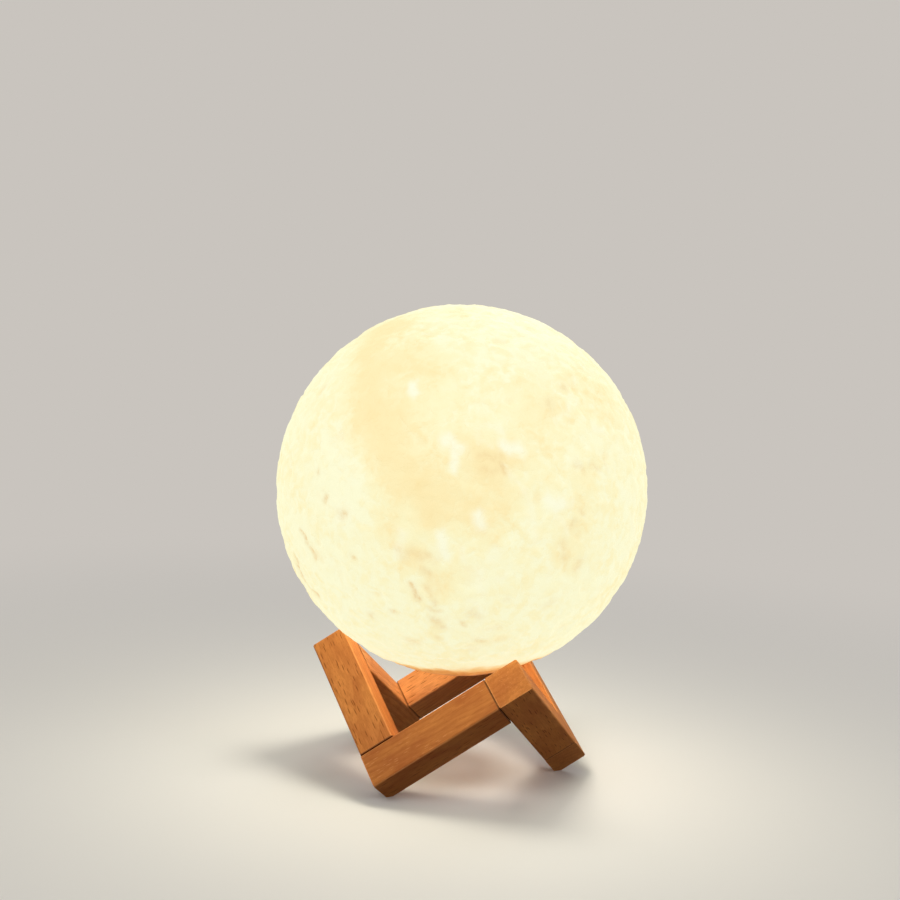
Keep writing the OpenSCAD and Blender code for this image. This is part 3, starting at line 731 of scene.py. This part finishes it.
board_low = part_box("control_board")[0]
material, tree, shader = finish("solder_mask", 0.3)
spot = in_mm(tree)
upright = parts_of(tree, node(tree, "ShaderNodeTexCoord", output="Normal"))[2]
lines = number(tree, "FRACT", number(tree, "MULTIPLY", noise(tree, spot, (0.22, 0.22, 0), 1.0), 9.0))
trace = number(tree, "MULTIPLY", rise(tree, lines, 0.30, 0.34), rise(tree, lines, 0.50, 0.54, 1.0, 0.0))
mask = mix(tree, trace, paint(18, 84, 48), paint(34, 118, 66))
pad = rise(tree, cells(tree, spot, (0.36, 0.36, 0)), 0.16, 0.19, 1.0, 0.0)
mask = mix(tree, pad, mask, paint(206, 204, 196))
glass = mix(tree, noise(tree, spot, (0.5, 0.5, 9.0)), paint(176, 164, 112), paint(202, 190, 140))
side = rise(tree, number(tree, "ABSOLUTE", upright), 0.4, 0.6, 1.0, 0.0)
feed(shader, "Base Color", mix(tree, side, mask, glass))
feed(shader, "Metallic", number(tree, "MULTIPLY", pad, number(tree, "SUBTRACT", 1.0, side)))
feed(shader, "Normal", bump(tree, number(tree, "ADD", trace, pad), 0.03))
dress("control_board", material)
dress("board_screws", plated_screws("board_screws"))

material, tree, shader = finish("chip_epoxy", 0.5)
spot = in_mm(tree, (0, 0, board_low.z))
place = parts_of(tree, spot)
leg_pitch = 1.27
leg = rise(tree, number(tree, "FRACT", number(tree, "DIVIDE", place[0], leg_pitch)), 0.35, 0.4)
leg = number(tree, "MULTIPLY", leg, rise(tree, place[2], -0.55, -0.45))
speck = noise(tree, spot, (4.0,) * 3, 3.0)
epoxy = mix(tree, speck, paint(26, 26, 28), paint(44, 44, 46))
feed(shader, "Base Color", mix(tree, leg, epoxy, paint(196, 196, 198)))
feed(shader, "Metallic", leg)
feed(shader, "Normal", bump(tree, number(tree, "ADD", speck, leg), 0.03))
dress("board_parts", material)

# ---- Charging socket ----
# A black nylon socket whose hole is lined with a plated spring sleeve round a brass pin, and
# beside it the clear light pipe that shows the charge light through the cover.

socket_low, socket_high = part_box("charge_socket")
socket_middle = (socket_low + socket_high) / 2
material, tree, shader = finish("socket_nylon", 0.4)
spot = in_mm(tree, socket_middle)
away = arrow(tree, "LENGTH", arrow(tree, "MULTIPLY", spot, (1, 1, 0)))
lining_r = 1.9
lining = rise(tree, away, lining_r - 0.02, lining_r + 0.02, 1.0, 0.0)
speck = noise(tree, spot, (3.0,) * 3, 4.0)
nylon = mix(tree, speck, paint(22, 22, 24), paint(40, 40, 43))
feed(shader, "Base Color", mix(tree, lining, nylon, paint(198, 194, 184)))
feed(shader, "Metallic", lining)
feed(shader, "Normal", bump(tree, speck, 0.02))
dress("charge_socket", material)

material, tree, shader = finish("pin_brass", 0.25, 1.0)
spot = in_mm(tree, socket_middle)
turning = number(tree, "SINE", number(tree, "MULTIPLY", parts_of(tree, spot)[2], 30.0))
tarnish = noise(tree, spot, (2.0,) * 3, 4.0)
feed(shader, "Base Color", mix(tree, tarnish, paint(206, 170, 96), paint(232, 202, 130)))
feed(shader, "Normal", bump(tree, turning, 0.01))
dress("charge_pin", material)

material, tree, shader = finish("light_pipe", 0.12)
shader.inputs["Transmission Weight"].default_value = 0.85
shader.inputs["IOR"].default_value = 1.49
frost = noise(tree, in_mm(tree), (1.6,) * 3, 4.0)
feed(shader, "Base Color", mix(tree, frost, paint(226, 234, 240), paint(250, 252, 252)))
feed(shader, "Normal", bump(tree, frost, 0.01))
dress("charge_lens", material)

# ---- Button and switch ----
# A glossy white cap, dished for a fingertip, with a flange that keeps it behind the cover. It
# presses the white plunger of a small black switch under the board.

cap_low, cap_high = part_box("button_cap")
cap_middle = (cap_low + cap_high) / 2
stem_r = 3.3
flange_r = (cap_high.x - cap_low.x) / 2 / MM
# 0.05 mm thinner than the CAD's flange, to stay clear of the cover's inside
flange_t = 0.75
face = [(0, 0.34), (1.0, 0.31), (1.9, 0.20), (2.5, 0.06), (2.75, 0.0), (2.95, 0.02), (3.15, 0.12)]
face.append((stem_r, 0.34))
cap_outline = [(radius * MM, cap_low.z + height * MM) for radius, height in face]
back = [(stem_r, flange_t), (flange_r - 0.15, flange_t), (flange_r, flange_t - 0.15), (flange_r, 0), (0, 0)]
cap_outline += [(radius * MM, cap_high.z - depth * MM) for radius, depth in back]
cap = piece("push_button", turned(cap_outline, cap_middle))
cap.data.shade_smooth()
cap.data.set_sharp_from_angle(angle=math.radians(40))
cap.data.materials.append(moulded("button_gloss", (236, 231, 220), 1.2, 0.004, 0.2))
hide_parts("button_cap")
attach(cap, "button")
dress("switch_plunger", moulded("plunger_plastic", (232, 228, 218), 2.5, 0.01, 0.35))

switch_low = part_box("switch_body")[0]
material, tree, shader = finish("switch_case", 0.4)
spot = in_mm(tree, switch_low)
plate_t = 0.3
plate = rise(tree, parts_of(tree, spot)[2], plate_t - 0.02, plate_t + 0.02, 1.0, 0.0)
speck = noise(tree, spot, (2.5,) * 3, 4.0)
resin = mix(tree, speck, paint(20, 20, 22), paint(38, 38, 40))
steel = mix(tree, noise(tree, spot, (8.0, 0.4, 0.4)), paint(170, 170, 174), paint(206, 206, 208))
feed(shader, "Base Color", mix(tree, plate, resin, steel))
feed(shader, "Metallic", plate)
feed(shader, "Normal", bump(tree, number(tree, "ADD", speck, plate), 0.02))
dress("switch_body", material)

# ---- Battery ----
# A flat lithium cell in a crinkled foil pouch, folded and taped with amber film at the end
# where its red and black leads come out. It lies on a strip of black foam tape.

cell_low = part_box("battery")[0]
material, tree, shader = finish("cell_foil", 0.35)
spot = in_mm(tree, cell_low)
place = parts_of(tree, spot)
crinkle = noise(tree, spot, (0.5, 0.9, 0.9), 5.0, 0.6)
taped_length = 3.4
taped = rise(tree, place[0], taped_length, taped_length + 0.1, 1.0, 0.0)
foil = mix(tree, crinkle, paint(158, 166, 174), paint(214, 218, 222))
film = mix(tree, crinkle, paint(190, 120, 32), paint(222, 156, 58))
feed(shader, "Base Color", mix(tree, taped, foil, film))
feed(shader, "Metallic", rise(tree, taped, 0.0, 1.0, 0.9, 0.1))
feed(shader, "Normal", bump(tree, number(tree, "ADD", crinkle, number(tree, "MULTIPLY", taped, 0.5)), 0.12))
dress("battery", material)

material, tree, shader = finish("foam_tape", 0.95)
pores = cells(tree, in_mm(tree), (2.6,) * 3)
# The pores are darker than the foam round them: painted shade in the hollows
feed(shader, "Base Color", mix(tree, pores, paint(14, 14, 14), paint(48, 48, 48)))
feed(shader, "Normal", bump(tree, pores, 0.15))
dress("battery_tape", material)


def insulated(name, first, second):
    """Silicone insulation, dull and a little dusty, in one colour on each side of the XZ plane."""
    material, tree, shader = finish(name, 0.5)
    spot = in_mm(tree)
    dust = noise(tree, spot, (1.5,) * 3, 4.0)
    sleeve = mix(tree, rise(tree, parts_of(tree, spot)[1], -0.1, 0.1), paint(*first), paint(*second))
    feed(shader, "Base Color", mix(tree, rise(tree, dust, 0.4, 0.8, 0.0, 0.25), sleeve, paint(190, 184, 176)))
    feed(shader, "Roughness", rise(tree, dust, 0.2, 0.8, 0.4, 0.65))
    feed(shader, "Normal", bump(tree, dust, 0.02))
    return material


dress("battery_leads", insulated("cell_leads", (28, 26, 26), (176, 30, 24)))
dress("light_leads", insulated("lamp_leads", (232, 226, 212), (232, 226, 212)))

# ---- Light unit ----
# A plastic post lifts a round aluminium board to the globe's middle. Six diodes with yellow
# phosphor sit on it under a frosted dome, which hides them and spreads their light.

dress("light_post", moulded("post_plastic", (240, 236, 226)))

lamp_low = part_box("light_board")[0]
material, tree, shader = finish("white_mask", 0.35)
spot = in_mm(tree, (0, 0, lamp_low.z))
upright = parts_of(tree, node(tree, "ShaderNodeTexCoord", output="Normal"))[2]
side = rise(tree, number(tree, "ABSOLUTE", upright), 0.4, 0.6, 1.0, 0.0)
away = arrow(tree, "LENGTH", arrow(tree, "MULTIPLY", spot, (1, 1, 0)))
track = number(tree, "MULTIPLY", rise(tree, away, 4.2, 4.3), rise(tree, away, 4.7, 4.8, 1.0, 0.0))
brush = noise(tree, spot, (0.4, 0.4, 12.0), 3.0)
mask = mix(tree, track, paint(240, 240, 236), paint(214, 214, 208))
metal = mix(tree, brush, paint(164, 166, 170), paint(206, 208, 210))
feed(shader, "Base Color", mix(tree, side, mask, metal))
feed(shader, "Metallic", side)
feed(shader, "Normal", bump(tree, number(tree, "ADD", brush, track), 0.02))
dress("light_board", material)

diode_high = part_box("light_diodes")[1]
diode_ring = 6.5
material, tree, shader = finish("diode", 0.4)
place = parts_of(tree, in_mm(tree, (0, 0, diode_high.z)))
angle = number(tree, "ARCTAN2", place[1], place[0])
turn_left = number(tree, "WRAP", angle, math.pi / 6, -math.pi / 6)
away = arrow(tree, "LENGTH", node(tree, "ShaderNodeCombineXYZ", {0: place[0], 1: place[1]}))
outward = number(tree, "MULTIPLY", away, number(tree, "COSINE", turn_left))
outward = number(tree, "SUBTRACT", outward, diode_ring)
sideways = number(tree, "MULTIPLY", away, number(tree, "SINE", turn_left))
reach = arrow(tree, "LENGTH", node(tree, "ShaderNodeCombineXYZ", {0: outward, 1: sideways}))
window = number(tree, "MULTIPLY", rise(tree, reach, 1.08, 1.14, 1.0, 0.0), rise(tree, place[2], -0.1, -0.05))
grain = noise(tree, in_mm(tree), (5.0,) * 3, 3.0)
phosphor = mix(tree, grain, paint(246, 206, 92), paint(255, 226, 128))
ceramic = mix(tree, grain, paint(222, 220, 214), paint(240, 238, 232))
feed(shader, "Base Color", mix(tree, window, ceramic, phosphor))
feed(shader, "Emission Color", mix(tree, window, (0.0, 0.0, 0.0, 1.0), paint(255, 214, 140)))
shader.inputs["Emission Strength"].default_value = 1.0
feed(shader, "Normal", bump(tree, number(tree, "SUBTRACT", grain, window), 0.03))
dress("light_diodes", material)

material, tree, shader = finish("frosted_dome", 0.7)
shader.inputs["Transmission Weight"].default_value = 0.4
frost = noise(tree, in_mm(tree), (2.4,) * 3, 4.0)
feed(shader, "Base Color", mix(tree, frost, paint(240, 234, 220), paint(252, 248, 238)))
feed(shader, "Emission Color", mix(tree, frost, paint(255, 222, 160), paint(255, 236, 188)))
shader.inputs["Emission Strength"].default_value = 0.7
feed(shader, "Normal", bump(tree, frost, 0.03))
dress("light_diffuser", material)

# ---- Stage ----
# A pale floor that fades into a backdrop of the same tone, three soft lamps and an even sky.
# A last light inside the globe gives the stand the glow that the globe's wall lets out.


def looked_at(tree):
    """1 for a ray that comes from the camera, straight or by way of a gloss or a clear piece."""
    path = tree.nodes.new("ShaderNodeLightPath").outputs
    seen = number(tree, "MAXIMUM", path["Is Glossy Ray"], path["Is Transmission Ray"])
    return number(tree, "MAXIMUM", path["Is Camera Ray"], seen)


# What is looked at is pale; the light that floor and sky throw on the lamp is dimmer, because
# the photograph's surroundings are dark
tone = paint(201, 196, 190)
dim = (0.11, 0.105, 0.10, 1.0)
sheet = bmesh.new()
bmesh.ops.create_grid(sheet, x_segments=1, y_segments=1, size=6.0)
floor = piece("floor", sheet)
material, tree, shader = finish("floor", 0.85)
out = tree.nodes["Material Output"]
seen = looked_at(tree)
feed(shader, "Base Color", mix(tree, seen, dim, paint(231, 228, 221)))
far = arrow(tree, "LENGTH", node(tree, "ShaderNodeTexCoord", output="Object"))
plain = node(tree, "ShaderNodeEmission", {"Color": mix(tree, seen, dim, tone)})
fade = node(tree, "ShaderNodeMixShader", {0: rise(tree, far, 0.12, 0.6), 1: shader.outputs[0], 2: plain})
# From below the floor is clear, so that the lamp's underside can be looked at
below = node(tree, "ShaderNodeNewGeometry", output="Backfacing")
clear = node(tree, "ShaderNodeBsdfTransparent")
fade = node(tree, "ShaderNodeMixShader", {0: below, 1: fade, 2: clear})
tree.links.new(fade, out.inputs["Surface"])
floor.data.materials.append(material)

world = bpy.data.worlds.new("studio")
bpy.context.scene.world = world
world.use_nodes = True
tree = world.node_tree
seen = looked_at(tree)
sky = mix(tree, seen, (0.24, 0.24, 0.25, 1), tone)
tree.links.new(sky, tree.nodes["Background"].inputs["Color"])


def lamp(name, kind, power, side, place):
    """A soft light that faces the globe's middle."""
    light = bpy.data.lights.new(name, kind)
    light.energy = power
    if kind == "AREA":
        light.size = side
    else:
        light.shadow_soft_size = side
    holder = bpy.data.objects.new(name, light)
    holder.location = place
    holder.rotation_euler = (Vector(place) - centre).to_track_quat("Z", "Y").to_euler()
    bpy.context.scene.collection.objects.link(holder)
    return holder


lamp("key", "AREA", 34.0, 1.8, (-1.5, -1.8, 2.4))
lamp("fill", "AREA", 12.0, 1.8, (2.3, -1.1, 1.4))
lamp("back", "AREA", 14.0, 1.4, (0.7, 2.2, 2.0))
# The glow stays in the globe when it lifts; the globe throws no shadow, or it would shut it in
glow = lamp("glow", "POINT", 0.5, 0.03, centre)
glow.data.color = (1.0, 0.96, 0.85)
glow.visible_camera = False
glow.visible_glossy = False
globe.visible_shadow = False
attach(glow, "globe")

bpy.context.scene.view_settings.view_transform = "Standard"
